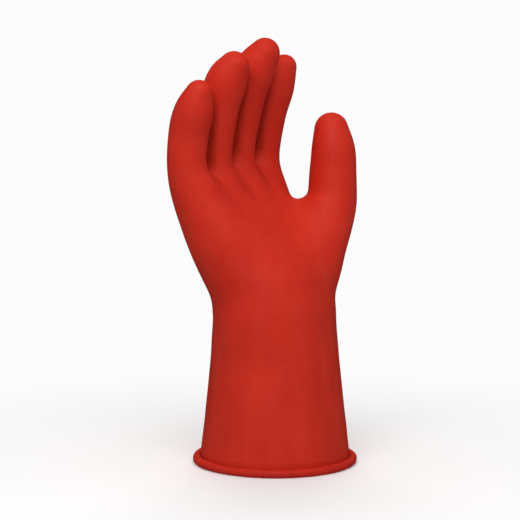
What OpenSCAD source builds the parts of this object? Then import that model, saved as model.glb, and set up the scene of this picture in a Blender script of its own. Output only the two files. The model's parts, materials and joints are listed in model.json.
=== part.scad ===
// Electrical insulating glove for the right hand: one dipped rubber shell, standing on its cuff.
// Millimetres. Origin at the centre of the cuff opening, +Z up along the forearm,
// the palm faces -Y and the thumb is on the +X side.
// Each node is one zone of the shell. Neighbouring zones meet face to face on flat cuts.

/* [Cuff] */
// Outer radius of the cuff at its open end
cuff_r = 48; // [47:0.5:49]
// Height of the straight part of the cuff above its edge
cuff_straight_h = 8; // [6:1:12]
// Radius of the rolled bead's section
bead_r = 2.6; // [2.2:0.1:3.2]
// Radius that the sleeve tapers to at the wrist
wrist_r = 39.6; // [38.5:0.1:40.5]

/* [Rubber] */
// Thickness of the rubber film
wall = 1.0; // [0.6:0.1:1.3]

/* [Stalls] */
// Radius of the finger stalls where they leave the palm
stall_r = 12.6; // [11.8:0.1:12.6]
// Radius of the thumb stall where it leaves the palm
thumb_r = 15.6; // [14.5:0.1:16]

/* [Flex zones] */
// Height of the bending zone at the wrist
wrist_flex_h = 40; // [36:1:44]
// Height of the bending zone at the root of each stall
stall_flex_h = 16; // [14:1:18]

/* [Hidden] */

rubber_red = "#c73123";
rubber_red_deep = "#a82a1e";

round_fn = 128;         // facets of the lathe-turned cuff and bead
ball_fn = 24;           // facets of the balls that the hand is hulled from
far = 200;              // larger than any zone of the glove
sliver = 0.01;          // thickness of the discs that a loft is hulled from

// Sleeve: round up to sleeve_round_z, then it flattens to an oval at oval_z
sleeve_round_z = 60;
oval_z = 96;
oval_wider = 4.4;       // what the oval gains across the hand
oval_flatter = 1.6;     // what it loses from palm to back
taper_power = 1.25;     // how early the sleeve narrows above the straight part

wrist_pivot_z = 92;
sleeve_low_z = wrist_pivot_z - wrist_flex_h / 2;
sleeve_high_z = wrist_pivot_z + wrist_flex_h / 2;

bead_ring_r = cuff_r + bead_r - 0.1; // the bead's centre line: it bites into the cuff a little
bead_z = bead_r - 0.1;              // sunk a little, so that it rests on a flat ring

// Digits: [x, y, z, radius] of balls from the heel of the hand to the fingertip.
// Rows 0 to PALM are joined across the palm, the rest is the free stall.
PALM = 2;
FINGERS = [
  [[-17, 4, 108, 23],   [-31.2, 16.5, 141, 21],   [-43.5, 28.5, 168, 16.5],       [-50.8, 32.6, 186.4, stall_r],
   [-51.4, 31.6, 208, stall_r], [-52.2, 27.3, 222.7, stall_r - 0.2], [-53, 22.2, 234.1, stall_r - 4]],
  [[-8, 4, 108, 25],    [-14, 16, 140, 23],       [-20.5, 27, 170, 16.5],         [-24.2, 31.9, 192.5, stall_r],
   [-24.6, 27.2, 225, stall_r], [-24.9, 21, 242.2, stall_r + 0.3],   [-25.2, 14, 253.4, stall_r - 4]],
  [[6, 4, 108, 26],     [5, 15, 140, 23],         [3, 26, 172, 16.5],             [2.4, 31.5, 197.7, stall_r],
   [2.6, 24.2, 235, stall_r],   [2.8, 16.8, 252.9, stall_r + 0.4],   [3, 8.7, 264.8, stall_r - 4]],
  [[18, 2, 108, 23],    [22, 13, 140, 21.5],      [26, 23, 170, 16.5],            [28.8, 28.7, 195.7, stall_r],
   [30.4, 24.8, 226, stall_r - 0.1], [31.6, 18.8, 243.8, stall_r - 0.4], [32.5, 12.6, 257.5, stall_r - 4.2]]];
THUMB = [[12, -12, 106, 18.5], [26, -15.4, 134, 18.4], [42.8, -17, 163, 17], [45.3, -17.6, 187.5, thumb_r],
         [45.3, -17.9, 202.2, thumb_r - 1.2], [45, -16.5, 215.8, thumb_r - 4.4]];
// The web between the thumb and the index finger
WEB = [[18, 12, 163, 9], [26.5, -1, 160.5, 8.5], [35.5, -14, 166, 9]];

CURVE_STEPS = 3;        // balls for each stretch of a stall's centre line

// The stalls stand apart at these x, from the little finger to the index finger
GAPS_X = [-far, -38, -11, 15.9, far];
// Heights of the hinge lines at the roots of the stalls
FINGER_PIVOT_Z = [197, 205, 207, 206];
thumb_pivot_z = 180;
// The block of space that holds the thumb stall and nothing else
thumb_low_x = 24;
thumb_high_y = 4;
thumb_top_z = 232;

function smooth(t) = let (c = min(max(t, 0), 1)) c * c * (3 - 2 * c);

// Radius of the sleeve at height z, before it flattens
function sleeve_r(z) =
  let (t = max(z - cuff_straight_h, 0) / (oval_z - cuff_straight_h))
  wrist_r + (cuff_r - wrist_r) * pow(max(1 - t, 0), taper_power);

function oval(z) =
  let (m = smooth((z - sleeve_round_z) / (oval_z - sleeve_round_z)))
  [sleeve_r(z) + oval_wider * m, sleeve_r(z) - oval_flatter * m];

// Point at t on a smooth curve through b and c, with neighbours a and d
function through(a, b, c, d, t) =
  0.5 * (2 * b + (c - a) * t + (2 * a - 5 * b + 4 * c - d) * t * t
         + (3 * b - a - 3 * c + d) * t * t * t);

function point(row, i) =
  i < 0 ? 2 * row[0] - row[1]
  : i >= len(row) ? 2 * row[len(row) - 1] - row[len(row) - 2]
  : row[i];

// The free stall's balls, from the palm's last row to the tip
function stall_balls(row, first) =
  [for (i = [first : len(row) - 2], s = [0 : CURVE_STEPS - 1])
     through(point(row, i - 1), row[i], row[i + 1], point(row, i + 2), s / CURVE_STEPS),
   row[len(row) - 1]];

module ball(b, inset) {
  translate([b[0], b[1], b[2]]) sphere(r = b[3] - inset, $fn = ball_fn);
}

module chain(balls, inset) {
  for (i = [0 : len(balls) - 2]) hull() {
    ball(balls[i], inset);
    ball(balls[i + 1], inset);
  }
}

module oval_disc(z, inset) {
  translate([0, 0, z]) linear_extrude(sliver)
    scale([oval(z)[0] - inset, oval(z)[1] - inset]) circle(r = 1, $fn = 2 * ball_fn);
}

// The oval part of the sleeve and the heel of the hand
module heel(inset) {
  steps = 4;
  low = sleeve_low_z - 2;
  dz = (oval_z - low) / steps;
  for (i = [0 : steps - 1]) hull() {
    oval_disc(low + i * dz, inset);
    oval_disc(low + (i + 1) * dz, inset);
  }
  hull() {
    oval_disc(oval_z, inset);
    for (row = FINGERS, k = [0 : 1]) ball(row[k], inset);
    for (k = [0 : 1]) ball(THUMB[k], inset);
  }
}

// The palm between two neighbouring fingers
module palm_strip(a, b, inset) {
  for (k = [0 : PALM - 1]) hull() {
    ball(a[k], inset);
    ball(a[k + 1], inset);
    ball(b[k], inset);
    ball(b[k + 1], inset);
  }
}

// The ball of the thumb and the web beside it
module thumb_root(inset) {
  index = FINGERS[3];
  for (k = [0 : 1]) hull() {
    ball(THUMB[k], inset);
    ball(THUMB[k + 1], inset);
    ball(index[k], inset);
    ball(k == 0 ? index[1] : WEB[0], inset);
  }
  chain(WEB, inset);
  hull() {
    ball(WEB[1], inset);
    ball(THUMB[1], inset);
    ball(index[1], inset);
  }
}

// The whole hand above the round sleeve, made smaller all round by inset
module form(inset) {
  heel(inset);
  for (i = [0 : 2]) palm_strip(FINGERS[i], FINGERS[i + 1], inset);
  thumb_root(inset);
  for (row = FINGERS) chain(stall_balls(row, PALM), inset);
  chain(stall_balls(THUMB, 1), inset);
}

module shell() {
  difference() {
    form(0);
    form(wall);
  }
}

module slab(low_z, high_z) {
  translate([-far, -far, low_z]) cube([2 * far, 2 * far, high_z - low_z]);
}

module thumb_space(low_z, high_z) {
  translate([thumb_low_x, -far, low_z]) cube([far, far + thumb_high_y, high_z - low_z]);
}

// Space of finger i between two heights, clear of the thumb
module finger_space(i, low_z, high_z) {
  difference() {
    translate([GAPS_X[i], -far, low_z])
      cube([GAPS_X[i + 1] - GAPS_X[i], 2 * far, high_z - low_z]);
    thumb_space(low_z - 1, thumb_top_z);
  }
}

module finger_base(i) {
  z = FINGER_PIVOT_Z[i];
  intersection() {
    shell();
    finger_space(i, z - stall_flex_h / 2, z + stall_flex_h / 2);
  }
}

module finger_stall(i) {
  intersection() {
    shell();
    finger_space(i, FINGER_PIVOT_Z[i] + stall_flex_h / 2, FINGER_PIVOT_Z[i] + far);
  }
}

// Bead of film rolled up on the outside of the cuff's edge
module rolled_bead() {
  color(rubber_red) rotate_extrude($fn = round_fn) intersection() {
    translate([bead_ring_r, bead_z]) circle(r = bead_r, $fn = 48);
    translate([cuff_r, 0]) square([far, far]);
  }
}

// Round sleeve, turned on the glove's axis
module cuff() {
  steps = 8;
  dz = (sleeve_low_z - cuff_straight_h) / steps;
  outline = concat([[cuff_r, 0]],
    [for (i = [0 : steps]) [sleeve_r(cuff_straight_h + i * dz), cuff_straight_h + i * dz]]);
  color(rubber_red) rotate_extrude($fn = round_fn)
    polygon(concat(outline,
      [for (i = [len(outline) - 1 : -1 : 0]) [outline[i][0] - wall, outline[i][1]]]));
}

// Sleeve that creases when the wrist bends
module wrist_sleeve() {
  color(rubber_red_deep) intersection() {
    shell();
    slab(sleeve_low_z, sleeve_high_z);
  }
}

module palm() {
  color(rubber_red) difference() {
    intersection() {
      shell();
      slab(sleeve_high_z, far);
    }
    thumb_space(thumb_pivot_z - stall_flex_h / 2, thumb_top_z);
    for (i = [0 : 3]) finger_space(i, FINGER_PIVOT_Z[i] - stall_flex_h / 2, 2 * far);
  }
}

module little_base() { color(rubber_red_deep) finger_base(0); }
module ring_base() { color(rubber_red_deep) finger_base(1); }
module middle_base() { color(rubber_red_deep) finger_base(2); }
module index_base() { color(rubber_red_deep) finger_base(3); }

module thumb_base() {
  color(rubber_red_deep) intersection() {
    shell();
    thumb_space(thumb_pivot_z - stall_flex_h / 2, thumb_pivot_z + stall_flex_h / 2);
  }
}

module little_stall() { color(rubber_red) finger_stall(0); }
module ring_stall() { color(rubber_red) finger_stall(1); }
module middle_stall() { color(rubber_red) finger_stall(2); }
module index_stall() { color(rubber_red) finger_stall(3); }

module thumb_stall() {
  color(rubber_red) intersection() {
    shell();
    thumb_space(thumb_pivot_z + stall_flex_h / 2, thumb_top_z);
  }
}

rolled_bead();
cuff();
wrist_sleeve();
palm();
little_base();
ring_base();
middle_base();
index_base();
thumb_base();
little_stall();
ring_stall();
middle_stall();
index_stall();
thumb_stall();
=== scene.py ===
"""Right-hand electrical insulating glove: the look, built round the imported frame.

The glove is one dipped rubber film. Its outer face is the zero surface of a distance field made of
round cones along each digit, melted together at the palm, and its inner face lies one film inside.
Lengths in the shape sections are millimetres, as in the CAD model; Blender objects are metres.
"""
import json
import math

import bmesh
import bpy
import numpy as np
from mathutils import Matrix, Vector


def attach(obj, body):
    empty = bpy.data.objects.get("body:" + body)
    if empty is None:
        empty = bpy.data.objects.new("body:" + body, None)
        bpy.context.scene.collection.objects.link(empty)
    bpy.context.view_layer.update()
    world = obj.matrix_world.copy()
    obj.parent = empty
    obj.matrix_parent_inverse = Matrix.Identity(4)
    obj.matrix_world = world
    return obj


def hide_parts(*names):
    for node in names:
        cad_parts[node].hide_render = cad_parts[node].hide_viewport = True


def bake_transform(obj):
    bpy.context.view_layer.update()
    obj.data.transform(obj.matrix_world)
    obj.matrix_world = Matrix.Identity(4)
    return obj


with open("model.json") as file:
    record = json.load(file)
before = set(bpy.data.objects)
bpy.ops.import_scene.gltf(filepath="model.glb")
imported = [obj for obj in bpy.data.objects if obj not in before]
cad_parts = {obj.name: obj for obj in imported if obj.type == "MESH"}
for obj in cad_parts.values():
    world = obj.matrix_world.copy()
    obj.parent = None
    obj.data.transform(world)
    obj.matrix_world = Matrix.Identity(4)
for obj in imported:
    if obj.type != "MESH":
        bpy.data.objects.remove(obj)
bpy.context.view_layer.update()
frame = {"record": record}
MM = 0.001
scene = bpy.context.scene

# ---------------------------------------------------------------- camera
CAMERA_AZIMUTH = math.radians(-58)
CAMERA_ELEVATION = math.radians(3)
CAMERA_DISTANCE = 0.798
CAMERA_AIM = Vector((0.0007, 0.0118, 0.1300))   # the middle of the picture
LENS_MM = 85
SENSOR_MM = 36


def direction(azimuth, elevation):
    """Unit vector from the object towards a viewer; azimuth 0 looks along +Y."""
    level = math.cos(elevation)
    return Vector((math.sin(azimuth) * level, -math.cos(azimuth) * level, math.sin(elevation)))


def add_camera():
    """The camera, low down and to the little finger's side of the palm."""
    data = bpy.data.cameras.new("camera")
    data.lens = LENS_MM
    data.sensor_width = SENSOR_MM
    camera = bpy.data.objects.new("camera", data)
    scene.collection.objects.link(camera)
    back = direction(CAMERA_AZIMUTH, CAMERA_ELEVATION)
    camera.location = CAMERA_AIM + back * CAMERA_DISTANCE
    camera.rotation_euler = back.to_track_quat("Z", "Y").to_euler()
    scene.camera = camera


add_camera()

# ---------------------------------------------------------------- skeleton, in mm
WALL = 1.0
MOUNTS = {mount["name"]: mount for mount in frame["record"]["mounts"]}
CUFF_R = MOUNTS["cuff_opening"]["dims"]["r_mm"] + WALL
CUFF_STRAIGHT_H = 8.0    # the sleeve is straight up to here
WRIST_R = 39.6
TAPER_POWER = 1.25       # above 1, the sleeve narrows fastest near the cuff
SLEEVE_ROUND_Z = 60.0    # it is round up to here
OVAL_Z = 96.0            # and an oval from here on
OVAL_WIDER = 4.4         # the oval's half width across the hand is this much over the wrist's radius
OVAL_FLATTER = 1.6       # and through the hand this much under it
HEEL_H = 46.0            # how far the sleeve's rounded end reaches into the hand
HEEL_LEAN = 0.06         # and how it leans to the back of the hand

STALL_R = 12.6
THUMB_R = 15.6
# Balls (x, y, z, radius) from the heel of the hand to the fingertip
FINGERS = {
    "little": [(-17, 4, 108, 23), (-31.8, 17.4, 140, 21.4), (-43.5, 28.5, 168, 16.5),
               (-50.8, 32.6, 186.4, STALL_R), (-51.4, 31.6, 208, STALL_R),
               (-52.2, 27.3, 222.7, STALL_R - 0.2), (-53, 22.2, 234.1, STALL_R - 4)],
    "ring": [(-8, 4, 108, 25), (-14, 16, 140, 23), (-20.5, 27, 170, 16.5),
             (-24.2, 31.9, 192.5, STALL_R), (-24.6, 27.2, 225, STALL_R),
             (-25, 21.6, 242.4, STALL_R + 0.6), (-25.2, 14.8, 252.8, STALL_R - 3)],
    "middle": [(6, 4, 108, 26), (5, 15, 140, 23), (3, 26, 172, 16.5),
               (2.4, 31.5, 197.7, STALL_R), (2.6, 24.2, 235, STALL_R),
               (2.8, 17.2, 253.2, STALL_R + 0.5), (3, 9.6, 263.6, STALL_R - 3)],
    "index": [(18, 2, 108, 23), (22, 13, 140, 21.5), (26, 23, 170, 16.5),
              (28.8, 28.7, 195.7, STALL_R), (30.4, 24.8, 226, STALL_R - 0.1),
              (31.6, 18.8, 243.8, STALL_R - 0.4), (32.5, 12.6, 257.5, STALL_R - 4.2)],
}
THUMB = [(12, -12, 106, 18.5), (26, -15.4, 134, 18.4), (42.8, -17, 163, 17),
         (45.3, -17.6, 187.5, THUMB_R), (45.3, -17.9, 202.2, THUMB_R - 1.2),
         (45, -16.5, 215.8, THUMB_R - 4.4)]
# Balls along the web from the index finger's root to the thumb's
THUMB_WEB = [(20, 13, 163, 9), (29, 0.6, 159.8, 8.5), (37.5, -12.7, 164.5, 9)]
CURVE_STEPS = 5

# Height of the webs between the fingers, across the hand
WEB_X = (-60.0, -37.6, -11.0, 15.4, 40.0)
WEB_Z = (189.0, 189.0, 198.0, 200.0, 200.0)


def smooth_step(value, low, high):
    """0 below low, 1 above high, and a smooth rise between them."""
    t = np.clip((value - low) / (high - low), 0, 1)
    return t * t * (3 - 2 * t)


def ramp(value, span, start, end):
    """start below the span, end above it, and a smooth change across it."""
    return start - (start - end) * smooth_step(value, *span)


def over_web(p):
    """Height of the points p over the webs between the fingers."""
    return p[:, 2] - np.interp(p[:, 0], WEB_X, WEB_Z)


def curve_balls(row):
    """Balls on a smooth (Catmull-Rom) curve through a digit's balls."""
    points = np.array(row, float)
    points = np.vstack([2 * points[0] - points[1], points, 2 * points[-1] - points[-2]])
    balls = []
    for a, b, c, d in zip(points, points[1:], points[2:], points[3:]):
        for t in np.arange(CURVE_STEPS) / CURVE_STEPS:
            balls.append(0.5 * (2 * b + (c - a) * t + (2 * a - 5 * b + 4 * c - d) * t**2
                                + (3 * b - a - 3 * c + d) * t**3))
    balls.append(points[-2])
    return np.array(balls)


DIGIT_CURVES = {name: curve_balls(row) for name, row in FINGERS.items()}
DIGIT_CURVES["thumb"] = curve_balls(THUMB)
THUMB_WEB_CURVE = curve_balls(THUMB_WEB)


# ---------------------------------------------------------------- distance field
def round_cone(p, a, b):
    """Distance from the points p to the hull of the balls a and b; a 2 in a name means squared."""
    axis = b[:3] - a[:3]
    length2 = axis @ axis
    taper = a[3] - b[3]
    slant2 = length2 - taper * taper
    from_a = p - a[:3]
    along = from_a @ axis
    past_b = along - length2
    off_axis2 = ((from_a * length2 - along[:, None] * axis) ** 2).sum(1)
    along2 = along * along * length2
    past_b2 = past_b * past_b * length2
    limit = np.sign(taper) * taper * taper * off_axis2
    to_side = (np.sqrt(off_axis2 * slant2 / length2) + along * taper) / length2 - a[3]
    to_a = np.sqrt(off_axis2 + along2) / length2 - a[3]
    to_b = np.sqrt(off_axis2 + past_b2) / length2 - b[3]
    distance = np.where(np.sign(along) * slant2 * along2 < limit, to_a, to_side)
    return np.where(np.sign(past_b) * slant2 * past_b2 > limit, to_b, distance)


def melt(a, b, reach):
    """Smaller of two distances, rounded where they differ by less than reach (a cubic smooth minimum)."""
    h = np.maximum(reach - np.abs(a - b), 0) / reach
    return np.minimum(a, b) - h * h * h * reach / 6


FAR = 30.0          # stands for any distance that is too long to matter
PALM_REACH = 25.0   # how far off a round cone still matters in the palm
STALL_REACH = 14.0  # and in the free stalls
STALL_Z = 206.0     # the stalls are free above this height


def chain(p, balls):
    """Distance to a row of round cones, worked out only where it matters; p is sorted upwards."""
    d = np.full(len(p), FAR)
    for a, b in zip(balls, balls[1:]):
        middle = (a[:3] + b[:3]) / 2
        reach = np.linalg.norm(b[:3] - a[:3]) / 2 + max(a[3], b[3])
        reach += STALL_REACH if min(a[2], b[2]) > STALL_Z else PALM_REACH
        low, high = np.searchsorted(p[:, 2], (middle[2] - reach, middle[2] + reach))
        off = p[low:high] - middle
        near = low + np.flatnonzero(np.einsum("ij,ij->i", off, off) < reach**2)
        if len(near):
            d[near] = np.minimum(d[near], round_cone(p[near], a, b))
    return d


def sleeve_axes(z):
    """The sleeve's half widths across and through the hand at height z."""
    t = np.clip((z - CUFF_STRAIGHT_H) / (OVAL_Z - CUFF_STRAIGHT_H), 0, 1)
    r = WRIST_R + (CUFF_R - WRIST_R) * (1 - t) ** TAPER_POWER
    oval = smooth_step(z, SLEEVE_ROUND_Z, OVAL_Z)
    return r + OVAL_WIDER * oval, r - OVAL_FLATTER * oval


TINY = 1e-9     # keeps a division from being by nothing


def sleeve(p):
    """Distance to the gauntlet's sleeve, which ends in half an ellipsoid inside the hand."""
    x, y, z = p.T
    a, b = sleeve_axes(z)
    above = np.maximum(z - OVAL_Z, 0)
    y = y - above * HEEL_LEAN
    s = above / HEEL_H
    q = np.sqrt((x / a) ** 2 + (y / b) ** 2 + s * s) + TINY
    slope = np.sqrt((x / a**2) ** 2 + (y / b**2) ** 2 + (s / HEEL_H) ** 2) / q + TINY
    return (q - 1) / slope


WAVE_SPREAD = (0.7, 1.4)    # the waves' lengths, as shares of the stated one
rng = np.random.default_rng(7)


def waves(count, length, height):
    """Random plane waves: the slight unevenness of a dipped film."""
    aim = rng.normal(size=(count, 3))
    aim /= np.linalg.norm(aim, axis=1)[:, None]
    lengths = length * rng.uniform(*WAVE_SPREAD, count)
    phases = rng.uniform(0, 2 * math.pi, count)
    return aim * (2 * math.pi / lengths)[:, None], phases, height / math.sqrt(count)


UNEVEN = [waves(count=7, length=60.0, height=0.16), waves(count=9, length=20.0, height=0.05)]
UNEVEN_FROM_Z = (5.0, 30.0)     # it sets in between these heights, and leaves the cuff's edge true


def unevenness(p):
    """What the film's slight unevenness adds to the distance at the points p."""
    total = np.zeros(len(p))
    for k, phase, height in UNEVEN:
        total += height * np.sin(p @ k.T + phase).sum(1)
    return total * smooth_step(p[:, 2], *UNEVEN_FROM_Z)


# How widely the shapes melt into each other, and the heights between which that changes
PALM_MELT = 24.0                    # finger into finger, low in the palm
VALLEY_MELT_DROP = 11.0             # less towards the webs, which leaves the palm's valleys
VALLEY_OVER_WEB = (-46.0, -10.0)
WEB_MELT_DROP = 12.6                # and hardly at all above them, which parts the stalls
WEB_OVER_WEB = (-13.0, 1.5)
HEEL_Z = (100.0, 130.0)             # the heel of the hand
SLEEVE_MELT = (7.0, 20.0)           # sleeve into hand, below and above the heel
THUMB_MELT = (26.0, 4.0)            # thumb into palm, at its ball and at its stall
THUMB_MELT_Z = (154.0, 184.0)
THUMB_HEEL_SHARE = 0.35             # that much of it is left below the heel
THUMB_WEB_MELT = (18.0, 4.0)        # thumb's web into thumb and palm, low and high
THUMB_WEB_MELT_Z = (162.0, 180.0)


def glove(points):
    """Distance from points to the glove's outer face, negative inside."""
    order = np.argsort(points[:, 2])
    p = points[order]
    z = p[:, 2]
    rise = over_web(p)
    palm_melt = PALM_MELT - WEB_MELT_DROP * smooth_step(rise, *WEB_OVER_WEB)
    palm_melt -= VALLEY_MELT_DROP * smooth_step(rise, *VALLEY_OVER_WEB)
    thumb_melt = ramp(z, THUMB_MELT_Z, *THUMB_MELT) * ramp(z, HEEL_Z, THUMB_HEEL_SHARE, 1)
    first, *others = FINGERS
    d = chain(p, DIGIT_CURVES[first])
    for name in others:
        d = melt(d, chain(p, DIGIT_CURVES[name]), palm_melt)
    d = melt(d, sleeve(p), ramp(z, HEEL_Z, *SLEEVE_MELT))
    d = melt(d, chain(p, DIGIT_CURVES["thumb"]), thumb_melt)
    d = melt(d, chain(p, THUMB_WEB_CURVE), ramp(z, THUMB_WEB_MELT_Z, *THUMB_WEB_MELT))
    distance = np.empty(len(p))
    distance[order] = d + unevenness(p)
    return distance


CORNERS = np.array([(1, -1, -1), (-1, -1, 1), (-1, 1, -1), (1, 1, 1)], float)
SLOPE_STEP = 0.15


def slopes(p):
    """Gradient of the glove's distance, from its values at a small tetrahedron's corners."""
    total = sum(corner * glove(p + SLOPE_STEP * corner)[:, None] for corner in CORNERS)
    return total / (len(CORNERS) * SLOPE_STEP)


# ---------------------------------------------------------------- meshing
CELL = 2.0
COARSE_CELL = 8.0
NEAR = 1.6 * COARSE_CELL        # the grid is worked out finely this near to the surface
LOW = np.array([-72.0, -60.0, -8.0])    # the grid's corners
HIGH = np.array([72.0, 52.0, 288.0])
GAPS_X = (-37.9, -11.1, 15.7)   # the narrow gaps between the finger stalls
GAP_HALF = 2.0                  # the grid is finer this far to each side of a gap
GAP_CELL = 0.4
EVEN_ROUNDS = 3                 # how often the quads are evened out
EVEN_SHARE = 0.5                # and how much of the way each point moves
WELD = 1e-4                     # points nearer to each other than this are one
CELL_CORNERS = list(np.ndindex(2, 2, 2))


def grid_lines():
    """Node positions along each axis, closer together across the gaps."""
    lines = [np.arange(low, high + CELL / 2, CELL) for low, high in zip(LOW, HIGH)]
    across = [x for x in lines[0] if min(abs(x - gap) for gap in GAPS_X) > GAP_HALF]
    for gap in GAPS_X:
        across += list(gap + np.arange(-GAP_HALF, GAP_HALF + GAP_CELL / 2, GAP_CELL))
    lines[0] = np.array(sorted(across))
    return lines


LINES = grid_lines()


def sample_grid():
    """The distance at the nodes of the grid, worked out finely only near the surface."""
    counts = ((HIGH - LOW) / COARSE_CELL).astype(int) + 2       # the last node, and one to spare
    nodes = np.stack(np.meshgrid(*[np.arange(n) for n in counts], indexing="ij"), -1)
    rough = glove(LOW + nodes.reshape(-1, 3) * COARSE_CELL).reshape(counts)
    places = np.stack(np.meshgrid(*LINES, indexing="ij"), -1)
    nearest = np.rint((places - LOW) / COARSE_CELL).astype(int)
    field = rough[nearest[..., 0], nearest[..., 1], nearest[..., 2]]
    near = np.abs(field) < NEAR
    field[near] = glove(places[near])
    return field


def at_corner(values, c):
    """The grid's values at corner c of every cell, where c holds 0 or 1 along each axis."""
    return values[tuple(slice(k, n - 1 + k) for k, n in zip(c, values.shape))]


def net_points(f, crossed):
    """For each crossed cell, the middle of the places where the surface f = 0 cuts the cell's edges."""
    cells = np.argwhere(crossed)
    place = np.zeros((len(cells), 3))
    hits = np.zeros(len(cells))
    for axis in range(3):
        for c in CELL_CORNERS:
            if c[axis]:
                continue
            d = tuple(1 if k == axis else c[k] for k in range(3))
            fa = at_corner(f, c)[crossed]
            fb = at_corner(f, d)[crossed]
            cut = (fa < 0) != (fb < 0)
            t = fa[cut] / (fa[cut] - fb[cut])
            spot = np.stack([LINES[k][cells[cut, k] + c[k]] for k in range(3)], 1)
            spot[:, axis] += t * (LINES[axis][cells[cut, axis] + 1] - spot[:, axis])
            place[cut] += spot
            hits[cut] += 1
    return place / hits[:, None]


def net_quads(inside, number):
    """A quad round each of the grid's edges that the surface cuts, through the four cells beside it."""
    quads = []
    for axis in range(3):
        u = (axis + 1) % 3
        v = (axis + 2) % 3
        here = [slice(1, -1)] * 3
        here[axis] = slice(0, -1)
        there = list(here)
        there[axis] = slice(1, None)
        start = np.argwhere(inside[tuple(here)] != inside[tuple(there)])
        start[:, u] += 1
        start[:, v] += 1
        ring = []
        for du, dv in ((0, 0), (1, 0), (1, 1), (0, 1)):
            cell = start.copy()
            cell[:, u] -= du
            cell[:, v] -= dv
            ring.append(number[cell[:, 0], cell[:, 1], cell[:, 2]])
        quad = np.stack(ring, 1)
        flip = ~inside[start[:, 0], start[:, 1], start[:, 2]]
        quad[flip] = quad[flip][:, ::-1]
        quads.append(quad)
    return np.vstack(quads)


def surface_net(field, level):
    """Points and quads of the surface where field = level, with one point in each cell that it crosses."""
    f = field - level
    inside = f < 0
    total = sum(at_corner(inside, c).astype(int) for c in CELL_CORNERS)
    crossed = (total > 0) & (total < len(CELL_CORNERS))
    number = -np.ones(crossed.shape, int)
    number[crossed] = np.arange(crossed.sum())
    return net_points(f, crossed), net_quads(inside, number)


def settle(points, level):
    """Moves points onto the surface where the distance is level."""
    g = slopes(points)
    return points - g * ((glove(points) - level) / (g * g).sum(1))[:, None]


def even_out(points, quads, level):
    """Evens the quads out: each point moves towards its neighbours' middle, then back to the surface."""
    edges = np.vstack([quads[:, [0, 1]], quads[:, [1, 2]], quads[:, [2, 3]], quads[:, [3, 0]]])
    edges = np.unique(np.sort(edges, 1), axis=0)
    for _ in range(EVEN_ROUNDS):
        total = np.zeros_like(points)
        count = np.zeros(len(points))
        for a, b in ((0, 1), (1, 0)):
            np.add.at(total, edges[:, a], points[edges[:, b]])
            np.add.at(count, edges[:, a], 1)
        moved = points + EVEN_SHARE * (total / count[:, None] - points)
        few = count < 4     # points with fewer neighbours, such as those on the open rim, stay
        moved[few] = points[few]
        points = settle(moved, level)
    return settle(points, level)


# Heights of the cuts that part the stalls from the hand
CUTS = {"little": 190.0, "ring": 198.0, "middle": 200.0, "index": 200.0, "thumb": 178.0}
CUT_BAND = 3 * CELL     # only faces this near to a cut's height are cut


def face_middles(bm):
    return np.array([f.calc_center_median()[:] for f in bm.faces])


def nearest_digit(points):
    """For each point, the number in CUTS of the digit that is nearest to it."""
    order = np.argsort(points[:, 2])
    p = points[order]
    nearest = np.empty(len(p), int)
    nearest[order] = np.argmin([chain(p, DIGIT_CURVES[name]) for name in CUTS], axis=0)
    return nearest


def cut_mesh(points, quads):
    """The mesh as bmesh, cut at every stall and at the cuff's edge."""
    mesh = bpy.data.meshes.new("raw")
    mesh.from_pydata(points.tolist(), [], quads.tolist())
    bm = bmesh.new()
    bm.from_mesh(mesh)
    bpy.data.meshes.remove(mesh)
    bmesh.ops.bisect_plane(bm, geom=bm.verts[:] + bm.edges[:] + bm.faces[:], dist=WELD,
                           plane_co=(0, 0, 0), plane_no=(0, 0, 1), clear_inner=True)
    for number, height in enumerate(CUTS.values()):
        middles = face_middles(bm)
        mine = (nearest_digit(middles) == number) & (np.abs(middles[:, 2] - height) < CUT_BAND)
        faces = [f for f, chosen in zip(bm.faces, mine) if chosen]
        geom = dict.fromkeys(faces)     # a dict, since it keeps its order from run to run
        for f in faces:
            geom.update(dict.fromkeys(f.verts))
            geom.update(dict.fromkeys(f.edges))
        bmesh.ops.bisect_plane(bm, geom=list(geom), dist=WELD, plane_co=(0, 0, height), plane_no=(0, 0, 1))
    return bm


def split_faces(bm):
    """Corner points and faces of each piece: the hand and the five stalls."""
    parts = {name: ({}, []) for name in ("hand", *CUTS)}
    names = list(CUTS)
    middles = face_middles(bm)
    for f, middle, number in zip(bm.faces, middles, nearest_digit(middles)):
        name = names[number] if middle[2] > CUTS[names[number]] else "hand"
        index, faces = parts[name]
        faces.append([index.setdefault(v.index, len(index)) for v in f.verts])
    coords = np.array([v.co[:] for v in bm.verts])
    return {name: (coords[list(index)], faces) for name, (index, faces) in parts.items()}


# Painted shade: the rubber is painted a darker red where a second digit is near, standing in for the shade
# between the digits
SHADE_REACH = 11.0               # how near it has to be, at the web
SHADE_HEIGHT = 95.0              # height over the web at which that reach would have shrunk to nothing
SHADE_MOST_SHRUNK = 0.9          # but it never shrinks by more than this share
SHADE_OVER_WEB = (-3.0, 4.0)     # the painted shade sets in between these heights over the web


def crevice_shading(points):
    """How much painted shade each point gets: 1 deep between two digits, 0 in the open."""
    order = np.argsort(points[:, 2])
    p = points[order]
    gap = np.sort([chain(p, balls) for balls in DIGIT_CURVES.values()], axis=0)[1]
    rise = over_web(p)
    reach = SHADE_REACH * (1 - np.clip(rise / SHADE_HEIGHT, 0, SHADE_MOST_SHRUNK))
    amount = np.empty(len(p))
    amount[order] = (1 - smooth_step(gap, reach / 2, reach)) * smooth_step(rise, *SHADE_OVER_WEB)
    return amount


def rim_loops(rims):
    """Open edges grouped into connected loops."""
    left = dict.fromkeys(rims)
    loops = []
    while left:
        todo = [left.popitem()[0]]
        loop = []
        while todo:
            e = todo.pop()
            loop.append(e)
            for v in e.verts:
                for other in v.link_edges:
                    if other in left:
                        del left[other]
                        todo.append(other)
        loops.append(loop)
    return loops


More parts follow.
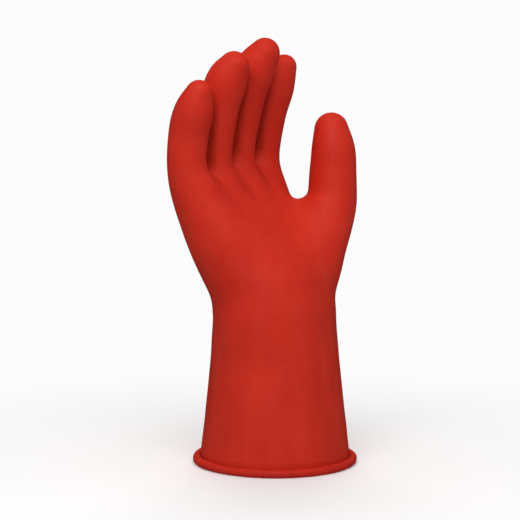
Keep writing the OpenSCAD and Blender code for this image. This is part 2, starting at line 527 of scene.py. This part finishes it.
def loop_middle(loop):
    middle = Vector()
    for e in loop:
        middle += (e.verts[0].co + e.verts[1].co) / 2
    return middle / len(loop)


def pair_loops(loops):
    """Each outer rim with the inner rim that lies in it."""
    pairs = []
    left = list(loops)
    while left:
        loop = left.pop()
        middle = loop_middle(loop)
        best = min(left, key=lambda other: (loop_middle(other) - middle).length)
        left.remove(best)
        pairs.append((loop, best))
    return pairs


def film_piece(outer, inner):
    """A closed piece of film: an outer face, an inner one, and strips that join their open edges."""
    bm = bmesh.new()
    normal_layer = bm.verts.layers.float_vector.new("normal")
    # Painted shade between the digits, kept for each point
    shade_layer = bm.verts.layers.float.new("crevice_shade")
    for (points, faces), turned in ((outer, False), (inner, True)):
        normals = slopes(points)
        normals /= np.linalg.norm(normals, axis=1)[:, None]
        if turned:
            normals = -normals
        verts = []
        for point, normal, amount in zip(points, normals, crevice_shading(points)):
            v = bm.verts.new(point)
            v[normal_layer] = normal
            v[shade_layer] = amount
            verts.append(v)
        for f in faces:
            ring = [verts[i] for i in f]
            face = bm.faces.new(reversed(ring) if turned else ring)
            face.smooth = True
    loops = rim_loops([e for e in bm.edges if len(e.link_faces) == 1])
    for loop, partner in pair_loops(loops):
        made = bmesh.ops.bridge_loops(bm, edges=loop + partner)
        for face in made["faces"]:
            face.smooth = False
    return bm


def take_mesh(name, bm, scale=1.0):
    """The bmesh as a mesh, scaled. It frees the bmesh."""
    mesh = bpy.data.meshes.new(name)
    bm.to_mesh(mesh)
    bm.free()
    mesh.transform(Matrix.Scale(scale, 4))
    return mesh


def add_object(name, mesh, material):
    mesh.materials.append(material)
    obj = bpy.data.objects.new(name, mesh)
    scene.collection.objects.link(obj)
    return obj


def add_film(name, bm, material):
    """A piece of film, in mm, as an object in metres. Its faces keep the field's own smooth normals."""
    bmesh.ops.recalc_face_normals(bm, faces=bm.faces[:])
    normal_layer = bm.verts.layers.float_vector["normal"]
    bm.verts.index_update()
    vertex_normals = [v[normal_layer].copy() for v in bm.verts]
    flat = [not f.smooth for f in bm.faces]
    mesh = take_mesh(name, bm, MM)
    corner_normals = []
    for polygon in mesh.polygons:
        for corner in polygon.loop_indices:
            if flat[polygon.index]:
                corner_normals.append(polygon.normal.copy())
            else:
                corner_normals.append(vertex_normals[mesh.loops[corner].vertex_index])
    for polygon in mesh.polygons:
        polygon.use_smooth = True
    mesh.normals_split_custom_set([tuple(n) for n in corner_normals])
    return add_object(name, mesh, material)


def skin_rows(bm, rows, closed):
    """Smooth quads between neighbouring rows of vertices, which stand all round the upright axis."""
    for row, following in zip(rows, rows[1:] + rows[:1]):
        rungs = list(zip(row, following))
        others = rungs[1:] + rungs[:1] if closed else rungs[1:]
        for (a, b), (c, d) in zip(rungs, others):
            bm.faces.new((a, b, d, c)).smooth = True


# ---------------------------------------------------------------- materials
MIX_A = 6           # numbers of the Mix node's sockets for colours
MIX_B = 7
MIX_RESULT = 2


class Nodes:
    """Short ways to add and link a material's nodes."""

    def __init__(self, name):
        self.material = bpy.data.materials.new(name)
        self.material.use_nodes = True
        self.tree = self.material.node_tree
        self.shader = self.tree.nodes["Principled BSDF"]
        self.place = self.add("ShaderNodeTexCoord").outputs["Object"]

    def add(self, kind, **values):
        node = self.tree.nodes.new(kind)
        for name, value in values.items():
            setattr(node, name, value)
        return node

    def link(self, source, target):
        self.tree.links.new(source, target)

    def fill(self, socket, value):
        """Puts a number, a colour or another node's output into a socket."""
        if isinstance(value, (int, float)):
            socket.default_value = value
        elif isinstance(value, tuple):
            socket.default_value = (*value, 1)
        else:
            self.link(value, socket)

    def noise(self, size, detail=2.0, rough=0.5, stretch=(1, 1, 1)):
        """Noise with features of about size metres, stretched along the axes."""
        mapping = self.add("ShaderNodeMapping")
        mapping.inputs["Scale"].default_value = [1 / s for s in stretch]
        self.link(self.place, mapping.inputs["Vector"])
        noise = self.add("ShaderNodeTexNoise")
        noise.inputs["Scale"].default_value = 1 / size
        noise.inputs["Detail"].default_value = detail
        noise.inputs["Roughness"].default_value = rough
        self.link(mapping.outputs["Vector"], noise.inputs["Vector"])
        return noise.outputs["Fac"]

    def span(self, source, start, to=(0, 1)):
        """source with the range start turned into the range to; it stays level past their ends."""
        node = self.add("ShaderNodeMapRange")
        for name, value in zip(("From Min", "From Max", "To Min", "To Max"), (*start, *to)):
            node.inputs[name].default_value = value
        self.link(source, node.inputs["Value"])
        return node.outputs["Result"]

    def work_out(self, operation, a, b):
        """The sum or product of two values."""
        node = self.add("ShaderNodeMath", operation=operation)
        self.fill(node.inputs[0], a)
        self.fill(node.inputs[1], b)
        return node.outputs["Value"]

    def mix(self, factor, a, b):
        """Colour a turning into colour b by factor."""
        node = self.add("ShaderNodeMix", data_type="RGBA")
        self.link(factor, node.inputs["Factor"])
        self.fill(node.inputs[MIX_A], a)
        self.fill(node.inputs[MIX_B], b)
        return node.outputs[MIX_RESULT]

    def bump(self, height, depth, under=None):
        """Relief that is depth metres deep, on top of the relief under it."""
        node = self.add("ShaderNodeBump")
        node.inputs["Distance"].default_value = depth
        node.inputs["Strength"].default_value = 1
        self.link(height, node.inputs["Height"])
        if under is not None:
            self.link(under, node.inputs["Normal"])
        return node.outputs["Normal"]


def linear(value):
    """Linear light from a 0..255 display value, by the sRGB curve."""
    if value <= 10.3:
        return value / 255 / 12.92
    return ((value / 255 + 0.055) / 1.055) ** 2.4


def from_srgb(r, g, b):
    return tuple(linear(value) for value in (r, g, b))


RED = from_srgb(209, 46, 28)
DEEP_RED = from_srgb(199, 40, 24)
WARM_RED = from_srgb(215, 54, 33)
SHADED_RED = from_srgb(188, 35, 21)
# The painted shade between the digits
CREVICE_SHADE_RED = from_srgb(170, 32, 10)
BLOOM = from_srgb(210, 74, 58)

# The rubber's patterns; sizes are in metres, and each range is where a pattern sets in and is full
CLOUDS = {"size": 0.045, "detail": 3}
CLOUD_RANGE = (0.35, 0.65)
STREAKS = {"size": 0.010, "detail": 3, "rough": 0.6, "stretch": (1, 1, 9)}
STREAK_RANGE = (0.38, 0.68)
STREAK_SHARE = 0.35
BLOOM_PATCHES = {"size": 0.018, "detail": 5, "rough": 0.65}
BLOOM_RANGE = (0.5, 0.8)
GRAIN = {"size": 0.0011, "detail": 3, "rough": 0.6}
GRAIN_DEPTH = 0.00008
PITS = {"size": 0.0022}
PIT_RANGE = (0.62, 0.75)
PIT_DEPTH = 0.00006
DIMPLES = {"size": 0.009}
DIMPLE_DEPTH = 0.00035
SHEEN_PATCHES = {"size": 0.012, "detail": 4, "rough": 0.6}
SHEEN_RANGE = (0.3, 0.7)
ROUGHNESS = (0.44, 0.56)
BLOOM_ROUGHER = 0.3
CREVICE_SHADE_ROUGHER = 0.3
SPECULAR = 0.12


def rubber(name, red, deep, warm, powder):
    """Dipped rubber: clouded colour, streaks down the film, painted shade between the digits, fine pits and
    a thin bloom.
    """
    n = Nodes(name)
    grain = n.noise(**GRAIN)
    clouds = n.span(n.noise(**CLOUDS), CLOUD_RANGE)
    streaks = n.span(n.noise(**STREAKS), STREAK_RANGE)
    patches = n.span(n.noise(**BLOOM_PATCHES), BLOOM_RANGE, to=(0, powder))
    bloom = n.work_out("MULTIPLY", patches, grain)
    crevice_shade = n.add("ShaderNodeAttribute", attribute_name="crevice_shade").outputs["Fac"]
    colour = n.mix(clouds, deep, red)
    colour = n.mix(n.work_out("MULTIPLY", streaks, STREAK_SHARE), colour, warm)
    colour = n.mix(bloom, colour, BLOOM)
    # Painted shade: darker red between the digits, where they shade each other
    colour = n.mix(crevice_shade, colour, CREVICE_SHADE_RED)
    n.link(colour, n.shader.inputs["Base Color"])
    rough = n.span(n.noise(**SHEEN_PATCHES), SHEEN_RANGE, to=ROUGHNESS)
    rough = n.work_out("ADD", rough, n.work_out("MULTIPLY", bloom, BLOOM_ROUGHER))
    rough = n.work_out("ADD", rough, n.work_out("MULTIPLY", crevice_shade, CREVICE_SHADE_ROUGHER))
    n.link(rough, n.shader.inputs["Roughness"])
    pits = n.span(n.noise(**PITS), PIT_RANGE, to=(1, 0))
    dimpled = n.bump(n.noise(**DIMPLES), DIMPLE_DEPTH)
    grained = n.bump(grain, GRAIN_DEPTH, under=dimpled)
    n.link(n.bump(pits, PIT_DEPTH, under=grained), n.shader.inputs["Normal"])
    n.shader.inputs["Specular IOR Level"].default_value = SPECULAR
    return n.material


film_rubber = rubber("film_rubber", red=RED, deep=DEEP_RED, warm=WARM_RED, powder=0.30)
# The bead is the film's rubber painted a darker red all through: painted shade for the rolled edge
bead_rubber = rubber("bead_rubber", red=DEEP_RED, deep=SHADED_RED, warm=RED, powder=0.20)


def build_film():
    """The hand with its sleeve, and the five stalls, each cut off at its own height."""
    field = sample_grid()
    faces = []
    for level in (0.0, -WALL):
        points, quads = surface_net(field, level)
        points = even_out(points, quads, level)
        bm = cut_mesh(points, quads)
        bm.verts.index_update()
        faces.append(split_faces(bm))
        bm.free()
    outer, inner = faces
    hand = add_film("hand_and_sleeve", film_piece(outer["hand"], inner["hand"]), film_rubber)
    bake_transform(hand)
    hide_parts("cuff", "wrist_sleeve", "palm")
    for name, height in CUTS.items():
        piece = add_film(name + "_skin", film_piece(outer[name], inner[name]), film_rubber)
        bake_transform(piece)
        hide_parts(name + "_base", name + "_stall")


build_film()

# ---------------------------------------------------------------- the rolled bead
BEAD_R = 2.6
BEAD_SINK = 0.1             # the roll's round section sinks this far into the cuff and the rest plane
BEAD_TUCK = 0.2             # the bead is cut off this far inside the cuff's outer face
BEAD_TURNS = 192
BEAD_SECTION = 40
# The roll is a little uneven: (number of waves round the cuff, their height, their phase)
BEAD_SWELLS = ((3, 0.07, 0.6), (7, 0.05, 2.0), (17, 0.03, 0.0))


def bead_point(angle, turn):
    """A point on the bead: angle goes round the cuff and turn round the roll."""
    roll_r = BEAD_R + sum(height * math.sin(count * angle + phase) for count, height, phase in BEAD_SWELLS)
    out = max(CUFF_R + BEAD_R - BEAD_SINK + roll_r * math.cos(turn), CUFF_R - BEAD_TUCK)
    up = max(BEAD_R - BEAD_SINK + roll_r * math.sin(turn), 0)
    return out * math.cos(angle), out * math.sin(angle), up


def build_bead():
    """Film rolled up on the cuff's edge: a ring, flat where it rests and tucked in against the cuff."""
    bm = bmesh.new()
    turns = [2 * math.pi * j / BEAD_SECTION for j in range(BEAD_SECTION)]
    rows = []
    for i in range(BEAD_TURNS):
        angle = 2 * math.pi * i / BEAD_TURNS
        rows.append([bm.verts.new(bead_point(angle, turn)) for turn in turns])
    skin_rows(bm, rows, closed=True)
    bmesh.ops.remove_doubles(bm, verts=bm.verts[:], dist=WELD)
    bmesh.ops.recalc_face_normals(bm, faces=bm.faces[:])
    bead = add_object("rolled_cuff_bead", take_mesh("bead", bm, MM), bead_rubber)
    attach(bead, "gauntlet")
    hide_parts("rolled_bead")


build_bead()

# ---------------------------------------------------------------- studio, in metres
FLOOR_R = 2.4
FLOOR_HOLE_R = 0.0005       # the floor starts at this radius, so that its quads have four corners
FLOOR_RINGS = 8
WALL_TOP = 3.4
SHEET_TURNS = 96
FADE_R = (0.09, 0.40)       # the floor fades into the backdrop between these radii
FLOOR_SHADE = 0.95
FLOOR_ROUGHNESS = 0.9
BACKDROP = 0.97
BLACK = (0.0, 0.0, 0.0)
WORLD_STRENGTH = 0.46
LIGHT_AIM = Vector((0, 0, 0.13))    # about the middle of the glove


def grey(value):
    return (value, value, value)


def add_sheet(name, profile, material):
    """A round sheet of the studio, turned from points (radius, height)."""
    bm = bmesh.new()
    rows = []
    for i in range(SHEET_TURNS):
        a = 2 * math.pi * i / SHEET_TURNS
        rows.append([bm.verts.new((r * math.cos(a), r * math.sin(a), z)) for r, z in profile])
    skin_rows(bm, rows, closed=False)
    sheet = add_object(name, take_mesh(name, bm), material)
    # It neither lights the glove nor shows in its gloss
    sheet.visible_diffuse = False
    sheet.visible_glossy = False


def glowing(name):
    """Nodes for a material that gives off light of its own and has no gloss."""
    n = Nodes(name)
    n.shader.inputs["Emission Strength"].default_value = 1
    n.shader.inputs["Specular IOR Level"].default_value = 0
    return n


def build_studio():
    """A pale floor whose shade fades outwards into plain white, and a plain white wall round it all."""
    n = glowing("studio_floor")
    radius = n.add("ShaderNodeVectorMath", operation="LENGTH")
    n.link(n.place, radius.inputs[0])
    fade = n.span(radius.outputs["Value"], FADE_R)
    n.link(n.mix(fade, grey(FLOOR_SHADE), BLACK), n.shader.inputs["Base Color"])
    n.link(n.mix(fade, BLACK, grey(BACKDROP)), n.shader.inputs["Emission Color"])
    n.shader.inputs["Roughness"].default_value = FLOOR_ROUGHNESS
    rings = [FLOOR_R * k / FLOOR_RINGS for k in range(1, FLOOR_RINGS + 1)]
    add_sheet("studio_floor", [(r, 0.0) for r in (FLOOR_HOLE_R, *rings)], n.material)
    n = glowing("studio_wall")
    n.fill(n.shader.inputs["Base Color"], BLACK)
    n.fill(n.shader.inputs["Emission Color"], grey(BACKDROP))
    add_sheet("studio_wall", [(FLOOR_R, 0.0), (FLOOR_R, WALL_TOP)], n.material)


def add_softbox(name, azimuth, elevation, distance, size, power, gloss=True):
    """A round area light, aimed at the glove; the angles are in degrees."""
    data = bpy.data.lights.new(name, "AREA")
    data.shape = "DISK"
    data.size = size
    data.energy = power
    light = bpy.data.objects.new(name, data)
    back = direction(math.radians(azimuth), math.radians(elevation))
    light.location = LIGHT_AIM + back * distance
    light.rotation_euler = back.to_track_quat("Z", "Y").to_euler()
    light.visible_glossy = gloss
    scene.collection.objects.link(light)


def light_studio():
    """A soft key light by the camera, a back light, and an even white world that gloss doesn't show."""
    add_softbox("key", azimuth=-63, elevation=45, distance=0.95, size=1.0, power=6.5)
    add_softbox("back", azimuth=122, elevation=40, distance=1.5, size=1.2, power=8, gloss=False)
    world = bpy.data.worlds.new("studio")
    world.use_nodes = True
    background = world.node_tree.nodes["Background"]
    background.inputs["Color"].default_value = (1, 1, 1, 1)
    background.inputs["Strength"].default_value = WORLD_STRENGTH
    scene.world = world
    world.cycles_visibility.glossy = False
    scene.view_settings.view_transform = "Standard"


build_studio()
light_studio()
